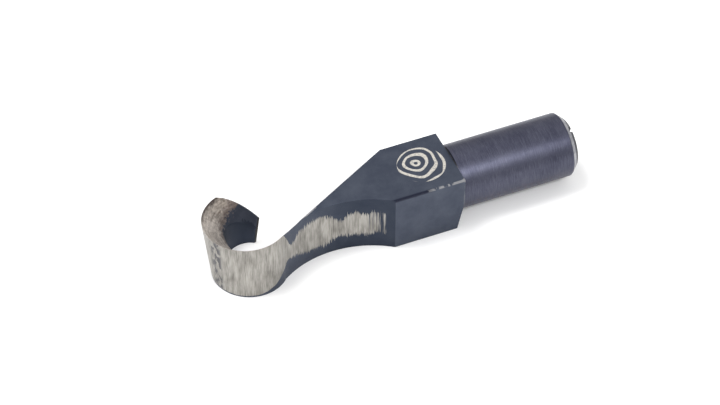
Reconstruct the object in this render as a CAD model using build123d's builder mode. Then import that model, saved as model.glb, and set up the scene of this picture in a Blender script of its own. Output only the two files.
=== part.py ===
from build123d import *

from math import asin, cos, degrees, radians, sin, sqrt
import os

# Hook knife: an exchangeable hook cutter of blackened tool steel with a round shank.
# All sizes are in millimetres.
# Frame: the origin is on the shank's axis, in the plane of the head's back face (the shoulder).
# +X runs along the shank to its free end, the hook lies towards -X, and +Z is up.

# ---------------------------------------------------------------- driving dimensions
# Shank: a turned bar with a spigot that sits inside the head.
shank_diameter = 16.0
shank_length = 31.4          # from the shoulder to the free end
end_chamfer = 1.9
slot_width = 1.2             # narrow slot across the free end
slot_depth = 1.0
slot_turn = 19.0             # degrees that the slot leans from upright, towards -Y
spigot_diameter = 10.0
spigot_length = 12.0

# Braze: the film of filler between shank and head.
braze_gap = 0.15

# Head: the square block at the back of the plate.
head_width = 17.6
head_offset = 0.1            # how far the head's middle lies from the shank's axis, towards -Y
near_length = 18.2           # along the -Y side
far_length = 14.7            # along the +Y side
top_height = 7.1             # plate's top face above the shank's axis
underside_depth = 8.45       # plate's underside below the shank's axis
corner_rise = 8.0            # the flat that takes off each lower back corner: its height,
corner_run = 1.9             # its length along the side,
corner_reach = 3.1           # and its length across the back

# Neck: its -Y side is one hollow arc from the head to the hook.
neck_arc_radius = 24.7
waist_offset = 4.3           # how far the waist of that arc lies from the shank's axis
arc_overlap = 0.2            # how far the arc runs into the ring, so that the two blend

# Hook: a ring that leans out towards its upper rim, with a round eye through it.
heel_radius = 9.25           # outside of the ring at the underside
heel_offset = 2.1            # ring's centre at the underside, off the shank's axis towards -Y
rim_radius = 10.4            # outside of the ring at the top
rim_shift = (-0.35, 1.35)    # ring's centre at the top, from its centre at the underside
eye_radius = 5.6             # the eye at the underside
eye_shift = (1.3, 3.0)       # eye's centre from the ring's centre at the underside
eye_flare = 0.6              # how much wider the eye's radius is at the top
eye_lean = 0.9               # how far the eye's centre moves towards +Y from underside to top

# Inner bevel, which brings the rim to a cutting edge.
edge_land = 0.12             # width left flat along the cutting edge
bevel_foot = -3.6            # height of the bevel's lower edge at the eye's centre
bevel_tilt = 28.0            # degrees that this lower edge falls towards the mouth
bevel_turn = 22.0            # and the way it falls, in plan, from +X towards -Y
bevel_inset = 0.05           # how far inside the eye's wall the lower edge is drawn

# Tip: the free end of the ring, and the slope from the full height down to it.
tip_angle = 58.5             # where on the eye the ring ends, from +X
tip_turn = 18.0              # the way the end face runs in plan, from +X towards +Y
slope_start = 3.65           # start of the slope, from the rim's centre towards -X
slope_run = 12.5             # the slope is an arc; this is its length along the shank's axis
slope_fall = 11.3            # and its drop
slope_crown = 0.8            # and how far its middle stands proud of a straight slope

# ---------------------------------------------------------------- derived places
top_z = top_height
underside_z = -underside_depth
plate_height = top_height + underside_depth
near_y = -head_width / 2 - head_offset
far_y = head_width / 2 - head_offset
shank_radius = shank_diameter / 2
socket_radius = spigot_diameter / 2 + braze_gap
socket_depth = spigot_length + braze_gap

# The neck's arc starts at the head's near corner and runs out just inside the ring.
arc_drop = -near_y - waist_offset
arc_x = -near_length - sqrt(neck_arc_radius**2 - (neck_arc_radius - arc_drop) ** 2)
arc_y = -waist_offset - neck_arc_radius
centre_gap = neck_arc_radius + heel_radius - arc_overlap
heel_centre = Vector(arc_x - sqrt(centre_gap**2 - (-heel_offset - arc_y) ** 2), -heel_offset)
rim_centre = heel_centre + Vector(*rim_shift)
eye_centre = heel_centre + Vector(*eye_shift)
bevel_radius = rim_radius - edge_land

near_corner = Vector(-near_length, near_y)
far_corner = Vector(-far_length, far_y)
waist = Vector(arc_x, -waist_offset)
arc_centre = Vector(arc_x, arc_y)
arc_end = arc_centre + (heel_centre - arc_centre).normalized() * neck_arc_radius


def touch_point(start, centre, radius):
    """The point where a line from start touches a circle, on the circle's -Y side."""
    run = centre - start
    turn = degrees(asin(radius / run.length))
    return start + run.normalized().rotate(Axis.Z, turn) * sqrt(run.length**2 - radius**2)


# The bevel's lower edge is an oval round the eye, on a plane that falls towards the mouth.
foot_share = (bevel_foot - underside_z) / plate_height
foot_radius = eye_radius + eye_flare * foot_share - bevel_inset
foot_centre = eye_centre + Vector(0, eye_lean * foot_share)
fall = Vector(cos(radians(bevel_turn)), -sin(radians(bevel_turn)))
level = cos(radians(bevel_tilt))
drop = sin(radians(bevel_tilt))
foot_plane = Plane(
    origin=(foot_centre.X, foot_centre.Y, bevel_foot),
    x_dir=(fall.X * level, fall.Y * level, -drop),
    z_dir=(fall.X * drop, fall.Y * drop, level),
)
rim_plane = Plane(origin=(rim_centre.X, rim_centre.Y, top_z), x_dir=(fall.X, fall.Y, 0))

eye_touch = touch_point(far_corner, eye_centre, eye_radius)
foot_touch = touch_point(far_corner, foot_centre, foot_radius)
rim_touch = touch_point(far_corner, rim_centre, bevel_radius)
foot_touch_z = bevel_foot - (foot_touch - foot_centre).dot(fall) * drop / level

# The ring's free end is a straight cut across its wall.
tip_inner = eye_centre + Vector(cos(radians(tip_angle)), sin(radians(tip_angle))) * eye_radius
tip_outer = tip_inner + Vector(cos(radians(tip_turn)), sin(radians(tip_turn))) * rim_radius

# ---------------------------------------------------------------- hook blade
# The inner bevel runs on along the neck as a flat. It holds the line from the head's far corner
# that touches the cutting edge, and the point where the same kind of line touches its foot.
flat_top = Vector(rim_touch.X, rim_touch.Y, top_z)
flat_run = (Vector(far_corner.X, far_corner.Y, top_z) - flat_top).normalized()
flat_fall = Vector(foot_touch.X, foot_touch.Y, foot_touch_z) - flat_top
flat_plane = Plane(origin=flat_top, x_dir=flat_run, z_dir=flat_run.cross(flat_fall))

with BuildPart() as neck_bevel:
    with BuildSketch(Plane.XY.offset(underside_z)):
        with BuildLine():
            Polyline(
                (rim_touch.X, rim_touch.Y),
                (far_corner.X, far_corner.Y),
                (foot_centre.X, foot_centre.Y),
                (foot_touch.X, foot_touch.Y),
                close=True,
            )
        make_face()
    extrude(amount=plate_height)
    split(bisect_by=flat_plane, keep=Keep.TOP)

# Head, neck and hook are one piece of plate. The ring stands on the same underside.
with BuildPart() as hook_blade:
    with BuildSketch(Plane.XY.offset(underside_z)) as plate:
        with BuildLine():
            Polyline(
                (eye_centre.X, eye_centre.Y),
                (far_corner.X, far_corner.Y),
                (0, far_y),
                (0, near_y),
                (near_corner.X, near_corner.Y),
            )
            ThreePointArc((near_corner.X, near_corner.Y), (waist.X, waist.Y), (arc_end.X, arc_end.Y))
            Polyline(
                (arc_end.X, arc_end.Y),
                (heel_centre.X, heel_centre.Y),
                (eye_centre.X, eye_centre.Y),
            )
        make_face()
    extrude(amount=plate_height)

    # The ring's outside, a leaning cone.
    with BuildSketch(Plane.XY.offset(underside_z)):
        with Locations((heel_centre.X, heel_centre.Y)):
            Circle(heel_radius)
    with BuildSketch(Plane.XY.offset(top_z)):
        with Locations((rim_centre.X, rim_centre.Y)):
            Circle(rim_radius)
    loft(ruled=True)

    # The eye, which leans and widens upwards as the outside does.
    with BuildSketch(Plane.XY.offset(underside_z)):
        with Locations((eye_centre.X, eye_centre.Y)):
            Circle(eye_radius)
    with BuildSketch(Plane.XY.offset(top_z)):
        with Locations((eye_centre.X, eye_centre.Y + eye_lean)):
            Circle(eye_radius + eye_flare)
    loft(ruled=True, mode=Mode.SUBTRACT)

    # The mouth of the hook, from its tip round to the neck's straight far side.
    with BuildSketch(Plane.XY.offset(underside_z)):
        with BuildLine():
            Polyline(
                (eye_centre.X, eye_centre.Y),
                (eye_touch.X, eye_touch.Y),
                (far_corner.X, far_corner.Y),
                (tip_outer.X, tip_outer.Y),
                (tip_inner.X, tip_inner.Y),
                close=True,
            )
        make_face()
    extrude(amount=plate_height, mode=Mode.SUBTRACT)

    # The inner bevel: from the cutting edge down to a tilted oval round the eye.
    with BuildSketch(rim_plane):
        Circle(bevel_radius)
    with BuildSketch(foot_plane):
        Ellipse(foot_radius / level, foot_radius)
    loft(mode=Mode.SUBTRACT)
    add(neck_bevel.part, mode=Mode.SUBTRACT)

    # The slope from the ring's back down to the tip. It is cut from inside the eye outwards,
    # and runs on level past its end, however wide the ring is.
    slope_x = rim_centre.X - slope_start
    slope_end_x = slope_x + slope_run
    slope_end_z = top_z - slope_fall
    with BuildSketch(Plane.XZ.offset(-eye_centre.Y - eye_radius / 2)):
        with BuildLine():
            SagittaArc((slope_x, top_z), (slope_end_x, slope_end_z), slope_crown)
            Polyline(
                (slope_end_x, slope_end_z),
                (slope_end_x + rim_radius, slope_end_z),
                (slope_end_x + rim_radius, top_z),
                (slope_x, top_z),
            )
        make_face()
    extrude(amount=-2 * rim_radius, mode=Mode.SUBTRACT)

    # The blind socket for the shank's spigot.
    with BuildSketch(Plane.YZ):
        Circle(socket_radius)
    extrude(amount=-socket_depth, mode=Mode.SUBTRACT)

    # The head's two lower back corners, each taken off by one flat.
    for side_y, inward in ((near_y, 1), (far_y, -1)):
        on_side = Vector(0, side_y, underside_z + corner_rise)
        on_foot = Vector(-corner_run, side_y, underside_z)
        on_back = Vector(0, side_y + inward * corner_reach, underside_z)
        facing = (on_foot - on_side).cross(on_back - on_side) * inward
        split(bisect_by=Plane(origin=on_side, z_dir=facing), keep=Keep.BOTTOM)

hook_blade.part.label = "hook_blade"

# ---------------------------------------------------------------- shank
with BuildPart() as shank:
    with BuildSketch(Plane.XZ):
        with BuildLine():
            Polyline(
                (-spigot_length, 0),
                (-spigot_length, spigot_diameter / 2),
                (braze_gap, spigot_diameter / 2),
                (braze_gap, shank_radius),
                (shank_length - end_chamfer, shank_radius),
                (shank_length, shank_radius - end_chamfer),
                (shank_length, 0),
                close=True,
            )
        make_face()
    revolve(axis=Axis.X)
    slot_plane = Plane.YZ.offset(shank_length - slot_depth).rotated((slot_turn, 0, 0))
    with BuildSketch(slot_plane):
        Rectangle(slot_width, shank_diameter)
    extrude(amount=slot_depth, mode=Mode.SUBTRACT)

shank.part.label = "shank"

# ---------------------------------------------------------------- braze joint
# Filler drawn round the spigot and under the shoulder, flush with the shank's wall. It only
# wets the head's back face, so it stops at the plate's top face.
with BuildPart() as braze_joint:
    with BuildSketch(Plane.XZ):
        with BuildLine():
            Polyline(
                (-socket_depth, 0),
                (-socket_depth, socket_radius),
                (0, socket_radius),
                (0, shank_radius),
                (braze_gap, shank_radius),
                (braze_gap, spigot_diameter / 2),
                (-spigot_length, spigot_diameter / 2),
                (-spigot_length, 0),
                close=True,
            )
        make_face()
    revolve(axis=Axis.X)
    with BuildSketch(Plane.YZ.offset(-socket_depth)):
        with Locations((-head_offset, (top_z + underside_z) / 2)):
            Rectangle(head_width, plate_height)
    extrude(amount=socket_depth + braze_gap, mode=Mode.INTERSECT)

braze_joint.part.label = "braze_joint"

# ---------------------------------------------------------------- files
os.makedirs("parts", exist_ok=True)
export_step(hook_blade.part, "parts/hook_blade.step")
export_step(shank.part, "parts/shank.step")
export_step(braze_joint.part, "parts/braze_joint.step")
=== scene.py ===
import math

import bmesh
import bpy
import numpy as np
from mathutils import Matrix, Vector


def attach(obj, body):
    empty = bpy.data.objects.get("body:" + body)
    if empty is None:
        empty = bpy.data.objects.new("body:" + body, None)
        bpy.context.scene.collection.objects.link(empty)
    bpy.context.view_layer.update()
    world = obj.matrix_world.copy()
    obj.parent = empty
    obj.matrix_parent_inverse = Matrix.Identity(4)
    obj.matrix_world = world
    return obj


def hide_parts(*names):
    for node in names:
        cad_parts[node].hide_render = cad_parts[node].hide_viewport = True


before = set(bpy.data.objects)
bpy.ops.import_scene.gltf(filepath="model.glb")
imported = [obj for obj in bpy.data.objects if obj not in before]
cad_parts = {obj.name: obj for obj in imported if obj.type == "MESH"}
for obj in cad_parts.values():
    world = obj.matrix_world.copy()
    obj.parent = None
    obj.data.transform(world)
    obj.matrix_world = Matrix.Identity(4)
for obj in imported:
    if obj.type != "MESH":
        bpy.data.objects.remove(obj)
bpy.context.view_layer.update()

# ------------------------------------------------------------------ hook blade
# Head, neck and hook are one piece of tool steel, milled from plate and blackened all over.
# The ring was then ground bare outside and on its inner bevel, and a grinding wheel has
# strayed along the hollow side of the neck.
MM = 0.001
BLACK_DEEP = (0.038, 0.047, 0.073)
BLACK_WORN = (0.076, 0.088, 0.118)
# Painted shade: these two oxide colours are darkened for the neck's hollow by the head and for the
# eye's wall.
SHADED_OXIDE_DEEP = (0.018, 0.026, 0.046)
SHADED_OXIDE_WORN = (0.036, 0.045, 0.066)
GROUND_DARK = (0.120, 0.112, 0.099)
GROUND_PALE = (0.450, 0.432, 0.400)
TOP_Z = 7.1
UNDERSIDE_Z = -8.45
HEEL_CENTRE = (-52.94, -2.1)
HEEL_RADIUS = 9.25
RIM_SHIFT = (-0.35, 1.35)
RIM_RADIUS = 10.4
EYE_CENTRE = (-51.64, 0.9)
EYE_RADIUS = 5.6
EYE_FLARE = 0.6
EYE_LEAN = 0.9
NECK_ARC_CENTRE = (-32.55, -29.0)
NECK_ARC_RADIUS = 24.7
HEAD_NEAR_X = -18.2
EDGE_ROUND = 0.14


def add_node(tree, kind, inputs=(), **settings):
    """A new node with its settings, and a value or a link for each named input."""
    node = tree.nodes.new(kind)
    for name, value in settings.items():
        setattr(node, name, value)
    for socket, value in dict(inputs).items():
        if isinstance(value, bpy.types.NodeSocket):
            tree.links.new(value, node.inputs[socket])
        else:
            node.inputs[socket].default_value = value
    return node


def math_node(tree, operation, a, b=0.0, c=0.0):
    """One Math node, given back as the socket with its result."""
    node = add_node(tree, "ShaderNodeMath", {0: a, 1: b, 2: c}, operation=operation)
    return node.outputs[0]


def step_between(tree, value, low, high):
    """A smooth step from 0 at low to 1 at high. It falls instead where low is above high."""
    node = add_node(
        tree,
        "ShaderNodeMapRange",
        {"Value": value, "From Min": low, "From Max": high, "To Min": 0.0, "To Max": 1.0},
        interpolation_type="SMOOTHSTEP",
    )
    return node.outputs["Result"]


def mix_colour(tree, share, a, b):
    """Colour a where share is 0, colour b where it is 1."""
    node = tree.nodes.new("ShaderNodeMix")
    node.data_type = "RGBA"
    for index, value in ((0, share), (6, a), (7, b)):
        if isinstance(value, bpy.types.NodeSocket):
            tree.links.new(value, node.inputs[index])
        else:
            node.inputs[index].default_value = value if index == 0 else (*value, 1.0)
    return node.outputs[2]


def mix_value(tree, share, a, b):
    """Value a where share is 0, value b where it is 1."""
    node = add_node(tree, "ShaderNodeMix", {0: share, 2: a, 3: b})
    return node.outputs[0]


def noise(tree, vector, scale, detail=3.0, roughness=0.55):
    """Noise on a vector in millimetres; scale is in waves per millimetre."""
    node = add_node(
        tree,
        "ShaderNodeTexNoise",
        {"Vector": vector, "Scale": scale, "Detail": detail, "Roughness": roughness},
    )
    return node.outputs["Fac"]


def stretched(tree, vector, scale):
    """The vector with each axis multiplied by its own scale."""
    node = add_node(tree, "ShaderNodeVectorMath", {0: vector, 1: scale}, operation="MULTIPLY")
    return node.outputs[0]


def new_group(name, inputs, outputs):
    """A shader node group with named sockets. Returns it with its input and output nodes."""
    group = bpy.data.node_groups.new(name, "ShaderNodeTree")
    for socket, (kind, default) in inputs.items():
        made = group.interface.new_socket(socket, in_out="INPUT", socket_type=kind)
        if default is not None:
            made.default_value = default
    for socket, kind in outputs.items():
        group.interface.new_socket(socket, in_out="OUTPUT", socket_type=kind)
    return group, group.nodes.new("NodeGroupInput"), group.nodes.new("NodeGroupOutput")


def use_group(tree, group, **inputs):
    """Places a node group in a material and sets or links its inputs."""
    node = tree.nodes.new("ShaderNodeGroup")
    node.node_tree = group
    for name, value in inputs.items():
        socket = node.inputs[name]
        if isinstance(value, bpy.types.NodeSocket):
            tree.links.new(value, socket)
        else:
            socket.default_value = (*value, 1.0) if isinstance(value, tuple) else value
    return node


# Black oxide: a thin skin that is cloudy at the scale of a few millimetres, finely grained,
# and paler where handling has polished it.
blackening, given, out = new_group(
    "blackening",
    {
        "Vector": ("NodeSocketVector", None),
        "Deep": ("NodeSocketColor", None),
        "Worn": ("NodeSocketColor", None),
        "Cloud": ("NodeSocketFloat", 0.22),
        "Gloss": ("NodeSocketFloat", 0.38),
    },
    {"Color": "NodeSocketColor", "Roughness": "NodeSocketFloat", "Height": "NodeSocketFloat"},
)
cloud = noise(blackening, given.outputs["Vector"], given.outputs["Cloud"], 4.0, 0.6)
grain = noise(blackening, given.outputs["Vector"], 5.5, 2.0, 0.7)
rub = math_node(blackening, "MULTIPLY_ADD", grain, 0.55, cloud)
worn_share = step_between(blackening, rub, 0.35, 1.25)
blackening.links.new(
    mix_colour(blackening, worn_share, given.outputs["Deep"], given.outputs["Worn"]),
    out.inputs["Color"],
)
blackening.links.new(
    math_node(blackening, "MULTIPLY_ADD", grain, 0.16, given.outputs["Gloss"]),
    out.inputs["Roughness"],
)
blackening.links.new(grain, out.inputs["Height"])

# Ground steel: straight lines left by the wheel, of uneven depth, with a few bright cuts.
grinding, given, out = new_group(
    "grinding",
    {
        "Vector": ("NodeSocketVector", None),
        "Dark": ("NodeSocketColor", None),
        "Pale": ("NodeSocketColor", None),
    },
    {"Color": "NodeSocketColor", "Roughness": "NodeSocketFloat", "Height": "NodeSocketFloat"},
)
line = noise(grinding, given.outputs["Vector"], 1.0, 4.0, 0.7)
patch = noise(grinding, stretched(grinding, given.outputs["Vector"], (0.16, 0.16, 0.9)), 1.0, 2.0)
light = math_node(
    grinding, "MULTIPLY_ADD", patch, 0.5, math_node(grinding, "MULTIPLY", line, 0.75)
)
grinding.links.new(
    mix_colour(
        grinding,
        step_between(grinding, light, 0.32, 0.88),
        given.outputs["Dark"],
        given.outputs["Pale"],
    ),
    out.inputs["Color"],
)
grinding.links.new(
    math_node(grinding, "MULTIPLY_ADD", line, 0.2, 0.36), out.inputs["Roughness"]
)
grinding.links.new(line, out.inputs["Height"])


def new_material(name):
    """An empty Principled material: its tree, its shader and Object coordinates in millimetres."""
    material = bpy.data.materials.new(name)
    material.use_nodes = True
    tree = material.node_tree
    shader = tree.nodes["Principled BSDF"]
    metres = tree.nodes.new("ShaderNodeTexCoord").outputs["Object"]
    place = stretched(tree, metres, (1 / MM, 1 / MM, 1 / MM))
    return material, tree, shader, place


def connect(tree, shader, colour, roughness, metallic, height, depth):
    """Feeds a finish to the shader. depth is the bump's full height in metres."""
    bump = add_node(
        tree, "ShaderNodeBump", {"Strength": 1.0, "Distance": depth, "Height": height}
    )
    tree.links.new(colour, shader.inputs["Base Color"])
    tree.links.new(roughness, shader.inputs["Roughness"])
    tree.links.new(metallic, shader.inputs["Metallic"])
    tree.links.new(bump.outputs["Normal"], shader.inputs["Normal"])


BLACK_METAL = 0.75
BLACK_BUMP = 1.2e-5
GROUND_METAL = 0.9
GROUND_BUMP = 3.0e-5
# Painted shade for the near upper edge; pale steel for the worn flat edge and for the painted edge
# highlights.
EDGE_SHADE = (0.010, 0.013, 0.030)
WEAR_AND_HIGHLIGHT_STEEL = (0.30, 0.30, 0.31)
ETCHED_STEEL = (0.56, 0.53, 0.48)
LINES_UPRIGHT = (5.0, 5.0, 0.22)

blackened, tree, shader, place = new_material("blackened_plate")
skin = use_group(tree, blackening, Vector=place, Deep=BLACK_DEEP, Worn=BLACK_WORN)
# Growth rings are etched on the head's top, bare and speckled.
MARK_CENTRE = (-7.6, 0.1)
MARK_PITH = (-8.6, 1.0)
MARK_RADIUS = 5.9
MARK_PITCH = 2.1
MARK_LINE = 0.40
x, y, z = add_node(tree, "ShaderNodeSeparateXYZ", {0: place}).outputs


def distance_from(tree, a, b, centre):
    """The distance of (a, b) from a centre, in the plane of those two axes."""
    off_a = math_node(tree, "SUBTRACT", a, centre[0])
    off_b = math_node(tree, "SUBTRACT", b, centre[1])
    square_a = math_node(tree, "MULTIPLY", off_a, off_a)
    return math_node(tree, "SQRT", math_node(tree, "MULTIPLY_ADD", off_b, off_b, square_a))


wobble = noise(tree, place, 0.14, 1.0)
from_pith = math_node(tree, "MULTIPLY_ADD", wobble, 3.2, distance_from(tree, x, y, MARK_PITH))
ring_phase = math_node(tree, "PINGPONG", from_pith, MARK_PITCH / 2)
on_ring = step_between(tree, ring_phase, MARK_LINE + 0.06, MARK_LINE - 0.06)
in_mark = step_between(
    tree, distance_from(tree, x, y, MARK_CENTRE), MARK_RADIUS + 0.04, MARK_RADIUS - 0.04
)
on_top = step_between(tree, z, TOP_Z - 0.03, TOP_Z - 0.01)
speckle = step_between(tree, noise(tree, place, 3.6, 2.0, 0.6), 0.38, 0.52)
etched = math_node(tree, "MULTIPLY", math_node(tree, "MULTIPLY", on_ring, in_mark), on_top)
etched = math_node(tree, "MULTIPLY", etched, mix_value(tree, speckle, 0.72, 1.0))

# Painted highlight: the near upper edge, its back corner and the edge below that corner are painted
# as bright steel where they catch the light.
# Towards the neck the same edge carries a painted shade line, darker than the faces that it parts.
HEAD_NEAR_Y = -8.9
FAR_LENGTH = 14.7
FAR_Y = 8.7
FLAT_RUN = (0.877, 0.481)
down_side = math_node(tree, "SUBTRACT", y, HEAD_NEAR_Y)
down_top = math_node(tree, "SUBTRACT", TOP_Z, z)
off_edge = math_node(tree, "ADD", down_side, down_top)
dashes_noise = noise(tree, stretched(tree, place, (0.75, 0.2, 0.2)), 1.0, 3.0, 0.7)
near_back = step_between(tree, x, -11.5, -7.0)
# Painted highlight in dashes along the near upper edge, towards the back.
highlight_dashes = math_node(
    tree,
    "MULTIPLY",
    step_between(tree, math_node(tree, "MULTIPLY_ADD", x, 0.010, dashes_noise), 0.38, 0.46),
    near_back,
)
near_edge_highlight = math_node(tree, "MULTIPLY", step_between(tree, off_edge, 0.55, 0.25), highlight_dashes)
# Painted highlight on the back corner.
corner_size = math_node(tree, "SUBTRACT", off_edge, math_node(tree, "MULTIPLY", x, 0.8))
corner_highlight = step_between(
    tree,
    math_node(tree, "MULTIPLY_ADD", noise(tree, place, 1.6, 2.0), 1.6, corner_size),
    1.9,
    1.3,
)
# Painted highlight down the edge below the back corner.
lower_edge_highlight = math_node(
    tree,
    "MULTIPLY",
    step_between(tree, math_node(tree, "SUBTRACT", down_side, x), 0.45, 0.20),
    step_between(tree, noise(tree, stretched(tree, place, (0.5, 0.5, 0.22)), 1.0, 2.0), 0.35, 0.60),
)
# Towards the ring, the top's edge along the ground flat is worn bright, and so is all of the
# blackened wall beyond that edge.
from_flat = math_node(
    tree,
    "MULTIPLY_ADD",
    math_node(tree, "ADD", x, FAR_LENGTH),
    FLAT_RUN[1],
    math_node(tree, "MULTIPLY", math_node(tree, "SUBTRACT", FAR_Y, y), FLAT_RUN[0]),
)
flat_edge = math_node(
    tree,
    "MULTIPLY",
    step_between(tree, from_flat, 0.42, 0.30),
    step_between(tree, math_node(tree, "MULTIPLY_ADD", dashes_noise, 8.0, x), -31.0, -33.0),
)
# The painted edge highlights together with the worn edge along the flat.
bright_patches = math_node(
    tree,
    "MAXIMUM",
    math_node(tree, "MAXIMUM", near_edge_highlight, flat_edge),
    math_node(tree, "MAXIMUM", corner_highlight, math_node(tree, "MULTIPLY", lower_edge_highlight, 0.45)),
)
# Painted shade: a dark line along the near upper edge towards the neck.
edge_shade = math_node(
    tree,
    "MULTIPLY",
    step_between(tree, off_edge, 0.75, 0.30),
    step_between(tree, x, -7.0, -10.0),
)
skin_colour = mix_colour(tree, edge_shade, skin.outputs["Color"], EDGE_SHADE)
# Pale steel for the etched mark, the worn flat edge and the painted edge highlights.
bright_colour = mix_colour(tree, etched, WEAR_AND_HIGHLIGHT_STEEL, ETCHED_STEEL)
shown = math_node(tree, "MAXIMUM", etched, math_node(tree, "MULTIPLY", bright_patches, 0.8))
connect(
    tree,
    shader,
    mix_colour(tree, shown, skin_colour, bright_colour),
    mix_value(tree, shown, skin.outputs["Roughness"], 0.60),
    mix_value(tree, shown, BLACK_METAL, 0.55),
    math_node(tree, "SUBTRACT", skin.outputs["Height"], math_node(tree, "MULTIPLY", etched, 1.5)),
    BLACK_BUMP,
)

# The neck's hollow side: a belt between an upper and a lower line, torn at both by upright
# scratches, and broken into single strokes near the head.
BELT_TOP = (
    (-48.0, 7.0), (-46.5, 6.1), (-45.6, 4.0), (-43.9, 1.4), (-43.2, 1.7), (-42.5, 2.7),
    (-41.6, 3.5), (-40.0, 3.9), (-38.5, 4.3), (-37.0, 4.4), (-35.5, 4.2), (-33.6, 3.6),
    (-31.8, 2.3), (-30.4, 1.1), (-29.1, 2.0), (-27.8, 2.9), (-26.8, 3.0), (-25.7, 2.5),
    (-24.7, 2.0), (-23.1, 2.5), (-21.9, 3.0), (-20.3, 2.2), (-18.0, 1.5),
)
BELT_FOOT = (
    (-48.0, -5.4), (-46.6, -4.1), (-45.2, -2.7), (-43.4, -3.4), (-42.0, -3.8), (-40.1, -4.8),
    (-38.1, -5.0), (-35.0, -5.3), (-32.7, -4.6), (-30.0, -3.8), (-28.7, -4.4), (-27.2, -4.1),
    (-25.7, -4.4), (-24.5, -4.5), (-23.1, -3.9), (-21.7, -3.7), (-20.2, -4.3), (-18.0, -4.0),
)
LINE_HEIGHTS = (-9.0, 8.0)


def height_along(tree, along, points):
    """A line of height against place along X: a curve with both scaled to run from 0 to 1."""
    start, end = points[0][0], points[-1][0]
    low, high = LINE_HEIGHTS
    share = add_node(
        tree, "ShaderNodeMapRange", {"Value": along, "From Min": start, "From Max": end}
    )
    node = add_node(
        tree, "ShaderNodeFloatCurve", {"Factor": 1.0, "Value": share.outputs["Result"]}
    )
    curve = node.mapping.curves[0]
    scaled = [((px - start) / (end - start), (pz - low) / (high - low)) for px, pz in points]
    curve.points[0].location = scaled[0]
    curve.points[1].location = scaled[-1]
    for spot in scaled[1:-1]:
        curve.points.new(*spot)
    for point in curve.points:
        point.handle_type = "AUTO_CLAMPED"
    node.mapping.update()
    return math_node(tree, "MULTIPLY_ADD", node.outputs[0], high - low, low)


neck_side, tree, shader, place = new_material("neck_hollow_side")
x, y, z = add_node(tree, "ShaderNodeSeparateXYZ", {0: place}).outputs
# Painted shade: the oxide is painted darker in the hollow towards the head.
shade_to_head = step_between(tree, x, -44.0, -26.0)
skin = use_group(
    tree,
    blackening,
    Vector=place,
    Deep=mix_colour(tree, shade_to_head, BLACK_DEEP, SHADED_OXIDE_DEEP),
    Worn=mix_colour(tree, shade_to_head, BLACK_WORN, SHADED_OXIDE_WORN),
)
bare = use_group(
    tree,
    grinding,
    Vector=stretched(tree, place, LINES_UPRIGHT),
    Dark=GROUND_DARK,
    Pale=GROUND_PALE,
)
fine = noise(tree, stretched(tree, place, (6.0, 0.0, 0.10)), 1.0, 2.0, 0.8)
coarse = noise(tree, stretched(tree, place, (2.0, 0.0, 0.06)), 1.0, 2.0, 0.6)
tear = math_node(
    tree,
    "MULTIPLY_ADD",
    math_node(tree, "SUBTRACT", fine, 0.5),
    5.0,
    math_node(tree, "MULTIPLY", math_node(tree, "SUBTRACT", coarse, 0.5), 2.2),
)
# Where the belt meets the ring its edges are the clean ones that the wheel left.
torn = math_node(tree, "MULTIPLY", tear, step_between(tree, x, -45.4, -43.4))
top_line = math_node(tree, "ADD", height_along(tree, x, BELT_TOP), torn)
foot_line = math_node(tree, "SUBTRACT", height_along(tree, x, BELT_FOOT), torn)
below_top = step_between(tree, math_node(tree, "SUBTRACT", top_line, z), -0.15, 0.15)
above_foot = step_between(tree, math_node(tree, "SUBTRACT", z, foot_line), -0.15, 0.15)
belt = math_node(tree, "MULTIPLY", below_top, above_foot)
# Towards the head only the deeper strokes reached the steel.
stroke = noise(tree, stretched(tree, place, (1.5, 0.0, 0.05)), 1.0, 3.0, 0.7)
gap_limit = math_node(tree, "MULTIPLY", step_between(tree, x, -33.0, -20.0), 0.60)
kept = step_between(tree, math_node(tree, "SUBTRACT", stroke, gap_limit), -0.13, 0.0)
belt = math_node(tree, "MULTIPLY", belt, kept)
belt = math_node(tree, "MULTIPLY", belt, step_between(tree, x, -19.9, -20.2))
connect(
    tree,
    shader,
    mix_colour(tree, belt, skin.outputs["Color"], bare.outputs["Color"]),
    mix_value(tree, belt, skin.outputs["Roughness"], bare.outputs["Roughness"]),
    mix_value(tree, belt, BLACK_METAL, GROUND_METAL),
    mix_value(tree, belt, skin.outputs["Height"], bare.outputs["Height"]),
    GROUND_BUMP,
)

# The ring's outside: upright wheel lines, black left in the hollow towards the neck and along
# the lower edge, and a column of pits where the scale was too deep to grind out.
RING_FOOT = (
    (-64.0, -8.15), (-57.0, -8.1), (-53.8, -7.95), (-52.2, -7.6), (-50.7, -7.1), (-49.2, -6.4),
    (-47.8, -5.2), (-46.6, -4.1), (-45.8, -3.3), (-45.2, -2.7), (-43.0, 0.5), (-42.0, 7.0),
)
RING_TOP = (
    (-50.0, 8.0), (-47.6, 7.9), (-47.0, 7.2), (-46.5, 6.1), (-45.6, 4.0), (-44.6, 2.2),
    (-43.0, 1.8),
)
PIT_BEARING = math.radians(-160)
PIT_SPREAD = math.radians(12)
PIT_SCALE = (0.060, 0.060, 0.072)
ring_side, tree, shader, place = new_material("ring_outside")
skin = use_group(tree, blackening, Vector=place, Deep=BLACK_DEEP, Worn=BLACK_WORN)
bare = use_group(
    tree,
    grinding,
    Vector=stretched(tree, place, LINES_UPRIGHT),
    Dark=GROUND_DARK,
    Pale=GROUND_PALE,
)
x, y, z = add_node(tree, "ShaderNodeSeparateXYZ", {0: place}).outputs
edge_wave = math_node(tree, "SUBTRACT", noise(tree, place, 0.7, 2.0), 0.5)
over_foot = math_node(
    tree,
    "SUBTRACT",
    math_node(tree, "MULTIPLY_ADD", edge_wave, 0.5, z),
    height_along(tree, x, RING_FOOT),
)
over_top = math_node(tree, "SUBTRACT", height_along(tree, x, RING_TOP), z)
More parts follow.
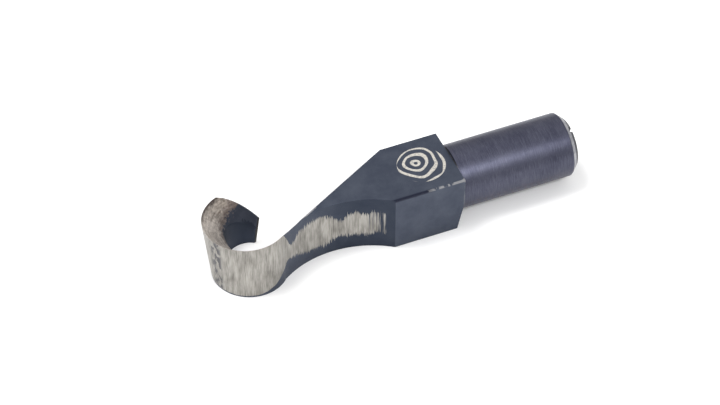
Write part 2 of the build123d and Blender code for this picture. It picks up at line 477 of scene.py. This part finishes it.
left_black = math_node(
    tree,
    "MULTIPLY",
    step_between(tree, math_node(tree, "MINIMUM", over_foot, over_top), 0.10, -0.05),
    step_between(tree, y, 2.0, 1.0),
)
bearing = math_node(
    tree,
    "ARCTAN2",
    math_node(tree, "SUBTRACT", y, HEEL_CENTRE[1] + RIM_SHIFT[1] / 2),
    math_node(tree, "SUBTRACT", x, HEEL_CENTRE[0]),
)
off_column = math_node(tree, "ABSOLUTE", math_node(tree, "SUBTRACT", bearing, PIT_BEARING))
in_column = step_between(tree, off_column, PIT_SPREAD, PIT_SPREAD * 0.5)
pit_noise = noise(tree, stretched(tree, place, (1.0, 1.0, 0.55)), 0.85, 3.0, 0.6)
pits = math_node(tree, "MULTIPLY", in_column, step_between(tree, pit_noise, 0.44, 0.58))
steel = mix_colour(
    tree, math_node(tree, "MULTIPLY", pits, 0.85), bare.outputs["Color"], PIT_SCALE
)
connect(
    tree,
    shader,
    mix_colour(tree, left_black, steel, skin.outputs["Color"]),
    mix_value(tree, left_black, bare.outputs["Roughness"], skin.outputs["Roughness"]),
    mix_value(tree, left_black, GROUND_METAL, BLACK_METAL),
    math_node(
        tree,
        "MULTIPLY_ADD",
        pits,
        -2.5,
        mix_value(tree, left_black, bare.outputs["Height"], skin.outputs["Height"]),
    ),
    GROUND_BUMP,
)

# The inner bevel: ground fine, burnt dark in patches along its outer rim, then scorched brown
# and at last black towards the tip.
bevel_face, tree, shader, place = new_material("inner_bevel")
skin = use_group(tree, blackening, Vector=place, Deep=BLACK_DEEP, Worn=BLACK_WORN)
bare = use_group(
    tree,
    grinding,
    Vector=stretched(tree, place, (1.6, 1.6, 1.6)),
    Dark=(0.20, 0.165, 0.14),
    Pale=(0.78, 0.72, 0.66),
)
x, y, z = add_node(tree, "ShaderNodeSeparateXYZ", {0: place}).outputs
RIM_CENTRE = (HEEL_CENTRE[0] + RIM_SHIFT[0], HEEL_CENTRE[1] + RIM_SHIFT[1])
BLACK_FROM = math.radians(-96)
SCORCHED = (0.13, 0.10, 0.10)
BURNT = (0.045, 0.030, 0.030)
BEVEL_METAL = 0.85
mottle = noise(tree, place, 0.9, 4.0, 0.65)
# The bearing is 0 at the ring's back and falls to minus a quarter turn on the tip's side.
bearing = math_node(
    tree,
    "ARCTAN2",
    math_node(tree, "SUBTRACT", RIM_CENTRE[1], y),
    math_node(tree, "SUBTRACT", RIM_CENTRE[0], x),
)
from_rim = math_node(tree, "SUBTRACT", RIM_RADIUS - 1.0, distance_from(tree, x, y, RIM_CENTRE))
turn_left = math_node(
    tree,
    "ADD",
    math_node(tree, "MULTIPLY_ADD", from_rim, -0.25, bearing),
    math_node(tree, "MULTIPLY", math_node(tree, "SUBTRACT", mottle, 0.5), 0.9),
)
scorched = step_between(tree, turn_left, BLACK_FROM + 0.42, BLACK_FROM + 0.05)
# Only the ring turns black there. The flat along the neck is bare.
on_hook = step_between(tree, x, -38.0, -40.0)
black_end = math_node(
    tree,
    "MULTIPLY",
    step_between(tree, turn_left, BLACK_FROM + 0.03, BLACK_FROM - 0.10),
    on_hook,
)
cone_radius = math_node(
    tree,
    "MULTIPLY_ADD",
    math_node(tree, "SUBTRACT", z, UNDERSIDE_Z),
    (RIM_RADIUS - HEEL_RADIUS) / (TOP_Z - UNDERSIDE_Z),
    HEEL_RADIUS,
)
to_outside = math_node(tree, "SUBTRACT", cone_radius, distance_from(tree, x, y, RIM_CENTRE))
burnt = math_node(
    tree,
    "MULTIPLY",
    step_between(tree, math_node(tree, "MULTIPLY_ADD", mottle, 1.3, to_outside), 1.25, 0.75),
    step_between(tree, y, 1.0, 4.0),
)
scorch_share = math_node(tree, "MULTIPLY", math_node(tree, "MULTIPLY", scorched, on_hook), 0.7)
steel = mix_colour(tree, scorch_share, bare.outputs["Color"], SCORCHED)
steel = mix_colour(tree, math_node(tree, "MULTIPLY", burnt, 0.85), steel, BURNT)
connect(
    tree,
    shader,
    mix_colour(tree, black_end, steel, skin.outputs["Color"]),
    mix_value(tree, black_end, bare.outputs["Roughness"], skin.outputs["Roughness"]),
    mix_value(tree, black_end, BEVEL_METAL, BLACK_METAL),
    mix_value(tree, black_end, bare.outputs["Height"], skin.outputs["Height"]),
    GROUND_BUMP,
)

# The eye's wall keeps its oxide, painted darker as shade inside the ring, and the tip's end is a
# dark cut face.
eye_wall, tree, shader, place = new_material("eye_wall")
skin = use_group(
    tree,
    blackening,
    Vector=stretched(tree, place, (1.0, 1.0, 0.3)),
    Deep=SHADED_OXIDE_DEEP,
    Worn=SHADED_OXIDE_WORN,
)
connect(
    tree,
    shader,
    skin.outputs["Color"],
    skin.outputs["Roughness"],
    mix_value(tree, skin.outputs["Height"], 0.6, 0.8),
    skin.outputs["Height"],
    BLACK_BUMP,
)
tip_end, tree, shader, place = new_material("tip_end")
bare = use_group(
    tree,
    grinding,
    Vector=stretched(tree, place, LINES_UPRIGHT),
    Dark=(0.015, 0.015, 0.017),
    Pale=(0.052, 0.050, 0.050),
)
connect(
    tree,
    shader,
    bare.outputs["Color"],
    bare.outputs["Roughness"],
    mix_value(tree, bare.outputs["Height"], 0.8, 0.95),
    bare.outputs["Height"],
    GROUND_BUMP,
)

# The CAD solid, merged, with its milled edges broken by a fine round.
blade_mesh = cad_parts["hook_blade"].data.copy()
work = bmesh.new()
work.from_mesh(blade_mesh)
bmesh.ops.remove_doubles(work, verts=work.verts, dist=1e-7)
bmesh.ops.dissolve_limit(work, angle_limit=math.radians(0.3), verts=work.verts, edges=work.edges)
MILLED_FROM = -0.044
SOCKET_REACH = 0.0053
milled = [
    e
    for e in work.edges
    if e.calc_face_angle(0.0) > math.radians(20)
    and min(v.co.x for v in e.verts) > MILLED_FROM
    and not all(abs(v.co.x) < 1e-5 and v.co.yz.length < SOCKET_REACH for v in e.verts)
    and not all(v.co.x < -1e-5 and v.co.yz.length < SOCKET_REACH for v in e.verts)
]
bmesh.ops.bevel(
    work, geom=milled, offset=EDGE_ROUND * MM, segments=2, affect="EDGES", clamp_overlap=True
)
bmesh.ops.triangulate(work, faces=work.faces)
work.to_mesh(blade_mesh)
work.free()
blade = bpy.data.objects.new("hook_blade_detailed", blade_mesh)
bpy.context.scene.collection.objects.link(blade)

# The faces are told apart by the upright part of their normal, and by how far, in millimetres,
# they lie from the surface that they belong to.
UPRIGHT = 0.12
LEANING = 0.25
LEVEL = 0.995
OFF_RING = 0.06
OFF_ARC = 0.15
OFF_EYE = 0.12
count = len(blade_mesh.polygons)
centre = np.zeros(count * 3)
normal = np.zeros(count * 3)
blade_mesh.polygons.foreach_get("center", centre)
blade_mesh.polygons.foreach_get("normal", normal)
centre = centre.reshape(-1, 3) / MM
normal = normal.reshape(-1, 3)
share_up = (centre[:, 2] - UNDERSIDE_Z) / (TOP_Z - UNDERSIDE_Z)
ring_centre = np.array(HEEL_CENTRE) + share_up[:, None] * np.array(RIM_SHIFT)
ring_radius = HEEL_RADIUS + (RIM_RADIUS - HEEL_RADIUS) * share_up
off_ring = np.abs(np.linalg.norm(centre[:, :2] - ring_centre, axis=1) - ring_radius)
eye_centre = np.stack(
    [np.full(count, EYE_CENTRE[0]), EYE_CENTRE[1] + EYE_LEAN * share_up], axis=1
)
off_eye = np.abs(
    np.linalg.norm(centre[:, :2] - eye_centre, axis=1) - EYE_RADIUS - EYE_FLARE * share_up
)
off_arc = np.abs(
    np.linalg.norm(centre[:, :2] - np.array(NECK_ARC_CENTRE), axis=1) - NECK_ARC_RADIUS
)
upright = np.abs(normal[:, 2]) < UPRIGHT
leaning = np.abs(normal[:, 2]) < LEANING
is_ring = leaning & (off_ring < OFF_RING)
is_neck_side = (
    upright & (off_arc < OFF_ARC) & (normal[:, 1] < 0) & (centre[:, 0] < HEAD_NEAR_X + 0.2)
)
is_eye = leaning & (off_eye < OFF_EYE)
is_bevel = (
    (centre[:, 0] < -16.0)
    & (normal[:, 2] > 0.06)
    & (normal[:, 2] < LEVEL)
    & ~is_ring
    & ~is_eye
    & ~is_neck_side
)
is_rim = (centre[:, 0] < -44.0) & (normal[:, 2] >= LEVEL)
is_tip = upright & ~is_ring & ~is_eye & (centre[:, 0] < -44.5) & (centre[:, 1] > 2.0)
kind = np.zeros(count, int)
kind[is_neck_side] = 1
kind[is_ring] = 2
kind[is_bevel | is_rim] = 3
kind[is_eye] = 4
kind[is_tip] = 5
blade_mesh.materials.clear()
for finish in (blackened, neck_side, ring_side, bevel_face, eye_wall, tip_end):
    blade_mesh.materials.append(finish)
blade_mesh.polygons.foreach_set("material_index", kind.astype(np.int32))
blade_mesh.polygons.foreach_set("use_smooth", np.ones(count, bool))
blade_mesh.set_sharp_from_angle(angle=math.radians(35))
even = blade.modifiers.new("even_faces", "WEIGHTED_NORMAL")
even.weight = 100
even.keep_sharp = True
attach(blade, "root")
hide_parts("hook_blade")

# ------------------------------------------------------------------ shank
# A bar of the same steel, turned to size with a fine feed, chamfered at its free end and
# slotted across it. Its spigot is brazed into the head. Blackened with a violet cast.
SHANK_RADIUS = 8.0
SHANK_START = 0.15
SHANK_END = 31.4
END_CHAMFER = 1.9
SPIGOT_RADIUS = 5.0
SPIGOT_LENGTH = 12.0
SLOT_WIDTH = 1.2
SLOT_DEPTH = 1.0
SLOT_TURN = math.radians(19)
CORNER_ROUND = 0.25
AROUND = 192


def lathed(name, profile, around):
    """A surface of revolution about X. Point (i, j) is profile point j turned by the share
    i of a full circle; the first and last profile points lie on the axis and are poles."""
    profile = np.asarray(profile, float)
    turn = np.arange(around) * (2 * np.pi / around)
    ring = profile[1:-1]
    rows = len(ring)
    grid = np.empty((around, rows, 3))
    grid[..., 0] = ring[:, 0]
    grid[..., 1] = np.cos(turn)[:, None] * ring[:, 1]
    grid[..., 2] = np.sin(turn)[:, None] * ring[:, 1]
    points = np.vstack([grid.reshape(-1, 3), [[profile[0, 0], 0, 0], [profile[-1, 0], 0, 0]]])
    i, j = np.meshgrid(np.arange(around), np.arange(rows - 1), indexing="ij")
    k = (i + 1) % around
    quads = np.stack([i * rows + j, i * rows + j + 1, k * rows + j + 1, k * rows + j], axis=-1)
    i = np.arange(around)
    k = (i + 1) % around
    first = np.full(around, around * rows)
    caps = np.vstack(
        [
            np.stack([first, i * rows, k * rows], axis=-1),
            np.stack([first + 1, k * rows + rows - 1, i * rows + rows - 1], axis=-1),
        ]
    )
    mesh = bpy.data.meshes.new(name)
    mesh.from_pydata(
        (points * MM).tolist(), [], quads.reshape(-1, 4).tolist() + caps.tolist()
    )
    return mesh


def rounded(corners, radii, steps=5):
    """The corner points with an arc in place of each corner that has a radius."""
    corners = np.asarray(corners, float)
    line = [corners[0]]
    for before, corner, after, radius in zip(corners, corners[1:], corners[2:], radii):
        if not radius:
            line.append(corner)
            continue
        a = (before - corner) / np.linalg.norm(before - corner)
        b = (after - corner) / np.linalg.norm(after - corner)
        share = np.linspace(0, 1, steps)[:, None]
        line.extend(corner + radius * (a * (1 - share) ** 2 + b * share**2))
    line.append(corners[-1])
    return np.array(line)


shank_profile = rounded(
    [
        (-SPIGOT_LENGTH, 0),
        (-SPIGOT_LENGTH, SPIGOT_RADIUS),
        (SHANK_START, SPIGOT_RADIUS),
        (SHANK_START, SHANK_RADIUS),
        (SHANK_END - END_CHAMFER, SHANK_RADIUS),
        (SHANK_END, SHANK_RADIUS - END_CHAMFER),
        (SHANK_END, 0),
    ],
    [0, 0, 0, CORNER_ROUND, CORNER_ROUND],
)
shank_mesh = lathed("shank_turned", shank_profile, AROUND)
shank = bpy.data.objects.new("shank_turned", shank_mesh)
bpy.context.scene.collection.objects.link(shank)

SLOT_REACH = 9.0
u, v, w = np.meshgrid([0, 1], [-1, 1], [-1, 1], indexing="ij")
slot_along = w.ravel() * SLOT_REACH
slot_across = v.ravel() * SLOT_WIDTH / 2
slot_corners = np.stack(
    [
        SHANK_END - SLOT_DEPTH + u.ravel() * 2 * SLOT_DEPTH,
        slot_across * math.cos(SLOT_TURN) - slot_along * math.sin(SLOT_TURN),
        slot_across * math.sin(SLOT_TURN) + slot_along * math.cos(SLOT_TURN),
    ],
    axis=1,
)
cutter_mesh = bpy.data.meshes.new("slot_cutter")
cutter_mesh.from_pydata(
    (slot_corners * MM).tolist(),
    [],
    [(0, 1, 3, 2), (4, 6, 7, 5), (0, 4, 5, 1), (2, 3, 7, 6), (0, 2, 6, 4), (1, 5, 7, 3)],
)
cutter = bpy.data.objects.new("slot_cutter", cutter_mesh)
bpy.context.scene.collection.objects.link(cutter)
cut = shank.modifiers.new("slot", "BOOLEAN")
cut.operation = "DIFFERENCE"
cut.solver = "EXACT"
cut.object = cutter
depsgraph = bpy.context.evaluated_depsgraph_get()
shank.data = bpy.data.meshes.new_from_object(shank.evaluated_get(depsgraph))
shank.modifiers.clear()
bpy.data.objects.remove(cutter)
shank.data.polygons.foreach_set("use_smooth", np.ones(len(shank.data.polygons), bool))
shank.data.set_sharp_from_angle(angle=math.radians(30))

VIOLET_DEEP = (0.030, 0.032, 0.058)
VIOLET_WORN = (0.080, 0.083, 0.118)
FEED_LINES = (0.210, 0.215, 0.270)
# Painted highlight and painted shade for the chamfer and the end face.
CHAMFER_HIGHLIGHT = (0.34, 0.34, 0.36)
CHAMFER_SHADE = (0.006, 0.007, 0.010)
TURNED_BUMP = 1.6e-5
turned, tree, shader, place = new_material("turned_shank")
skin = use_group(
    tree, blackening, Vector=place, Deep=VIOLET_DEEP, Worn=VIOLET_WORN, Cloud=0.15, Gloss=0.30
)
x, y, z = add_node(tree, "ShaderNodeSeparateXYZ", {0: place}).outputs
feed = noise(tree, stretched(tree, place, (9.0, 0.45, 0.45)), 1.0, 3.0, 0.7)
# Painted highlight: the chamfer is painted bright next to the wall. Painted shade: it is painted
# near black towards the end face and over the end face.
CHAMFER_START = SHANK_END - END_CHAMFER
on_chamfer = step_between(
    tree,
    math_node(tree, "ADD", x, distance_from(tree, y, z, (0.0, 0.0))),
    CHAMFER_START + SHANK_RADIUS - 0.40,
    CHAMFER_START + SHANK_RADIUS - 0.15,
)
# Painted highlight in a band next to the wall.
highlight_band = math_node(
    tree,
    "MULTIPLY",
    math_node(
        tree,
        "MULTIPLY",
        on_chamfer,
        step_between(tree, x, CHAMFER_START - 0.10, CHAMFER_START + 0.10),
    ),
    step_between(tree, x, CHAMFER_START + 1.15, CHAMFER_START + 0.75),
)
# Painted shade towards and over the end face.
shade_band = step_between(tree, x, CHAMFER_START + 0.85, CHAMFER_START + 1.25)
# Patches where the painted highlight is at full strength.
bright_patches = step_between(tree, noise(tree, place, 0.7, 3.0, 0.6), 0.38, 0.58)
highlight_share = math_node(tree, "MULTIPLY", highlight_band, mix_value(tree, bright_patches, 0.55, 1.0))
wall_colour = mix_colour(
    tree,
    math_node(tree, "MULTIPLY", step_between(tree, feed, 0.40, 0.70), 0.22),
    skin.outputs["Color"],
    FEED_LINES,
)
end_colour = mix_colour(
    tree, math_node(tree, "MULTIPLY", shade_band, 0.85), wall_colour, CHAMFER_SHADE
)
connect(
    tree,
    shader,
    mix_colour(tree, highlight_share, end_colour, CHAMFER_HIGHLIGHT),
    mix_value(tree, feed, skin.outputs["Roughness"], 0.42),
    mix_value(tree, highlight_share, BLACK_METAL, GROUND_METAL),
    math_node(tree, "MULTIPLY_ADD", feed, 1.2, skin.outputs["Height"]),
    TURNED_BUMP,
)
shank.data.materials.clear()
shank.data.materials.append(turned)
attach(shank, "root")
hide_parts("shank")

# ------------------------------------------------------------------ braze joint
# A film of bronze filler that ran in between head and shank, round the spigot and under the
# shoulder. It holds the two together, and only its edge shows, black like the rest.
FILLER_DEEP = (0.028, 0.034, 0.048)
FILLER_WORN = (0.10, 0.09, 0.08)
FILLER_BUMP = 6.0e-5
filler, tree, shader, place = new_material("darkened_filler")
skin = use_group(
    tree, blackening, Vector=place, Deep=FILLER_DEEP, Worn=FILLER_WORN, Cloud=0.6
)
lumps = noise(tree, place, 1.4, 3.0, 0.6)
connect(
    tree,
    shader,
    skin.outputs["Color"],
    skin.outputs["Roughness"],
    mix_value(tree, lumps, 0.6, 0.8),
    lumps,
    FILLER_BUMP,
)
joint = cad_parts["braze_joint"]
joint.data.materials.clear()
joint.data.materials.append(filler)

# ------------------------------------------------------------------ studio
# A pale sheet under the tool, a wide lamp high on the left and a little behind, a smaller one
# in front, and an even sky that is dimmer near the horizon.
FLOOR_REACH = 3.0
FLOOR_GAP = 2e-5
floor_mesh = bpy.data.meshes.new("floor")
corners = np.array([(-1, -1), (1, -1), (1, 1), (-1, 1)]) * FLOOR_REACH
floor_z = UNDERSIDE_Z * MM - FLOOR_GAP
floor_mesh.from_pydata([(a, b, floor_z) for a, b in corners], [], [(0, 1, 2, 3)])
floor = bpy.data.objects.new("floor", floor_mesh)
bpy.context.scene.collection.objects.link(floor)
paper = bpy.data.materials.new("white_sheet")
paper.use_nodes = True
sheet = paper.node_tree.nodes["Principled BSDF"]
sheet.inputs["Base Color"].default_value = (0.92, 0.92, 0.92, 1)
sheet.inputs["Roughness"].default_value = 0.9
sheet.inputs["Specular IOR Level"].default_value = 0.1
floor_mesh.materials.append(paper)

world = bpy.data.worlds.new("sky")
world.use_nodes = True
sky = world.node_tree
background = sky.nodes["Background"]
direction = sky.nodes.new("ShaderNodeTexCoord").outputs["Generated"]
height = add_node(sky, "ShaderNodeSeparateXYZ", {0: direction}).outputs[2]
background.inputs["Color"].default_value = (1, 1, 1, 1)
sky.links.new(
    math_node(sky, "MULTIPLY_ADD", step_between(sky, height, 0.0, 0.55), 0.42, 0.34),
    background.inputs["Strength"],
)
bpy.context.scene.world = world
bpy.context.scene.view_settings.view_transform = "Standard"


def lamp(name, place, aim, size, power):
    """A square soft lamp at place that shines towards aim."""
    data = bpy.data.lights.new(name, "AREA")
    data.size = size
    data.energy = power
    made = bpy.data.objects.new(name, data)
    made.location = place
    made.rotation_mode = "QUATERNION"
    heading = Vector(aim) - Vector(place)
    made.rotation_quaternion = heading.to_track_quat("-Z", "Y")
    bpy.context.scene.collection.objects.link(made)


lamp("overhead", (-0.24, 0.14, 0.70), (-0.02, 0, 0), 0.30, 3.6)
lamp("front", (0.10, -0.44, 0.52), (0, 0, 0), 0.14, 2.3)

AZIMUTH = math.radians(-23.03)
ELEVATION = math.radians(44.84)
CAMERA_AWAY = 844.6
CAMERA_LEFT = 21.69
CAMERA_DOWN = 6.057
back = np.array(
    [
        math.sin(AZIMUTH) * math.cos(ELEVATION),
        -math.cos(AZIMUTH) * math.cos(ELEVATION),
        math.sin(ELEVATION),
    ]
)
right = np.array([math.cos(AZIMUTH), math.sin(AZIMUTH), 0])
up = np.cross(back, right)
camera_data = bpy.data.cameras.new("camera")
camera_data.lens = 175
camera_data.sensor_width = 36
camera = bpy.data.objects.new("camera", camera_data)
camera.location = (CAMERA_AWAY * back - CAMERA_LEFT * right - CAMERA_DOWN * up) * MM
camera.rotation_euler = (math.pi / 2 - ELEVATION, 0, AZIMUTH)
bpy.context.scene.collection.objects.link(camera)
bpy.context.scene.camera = camera
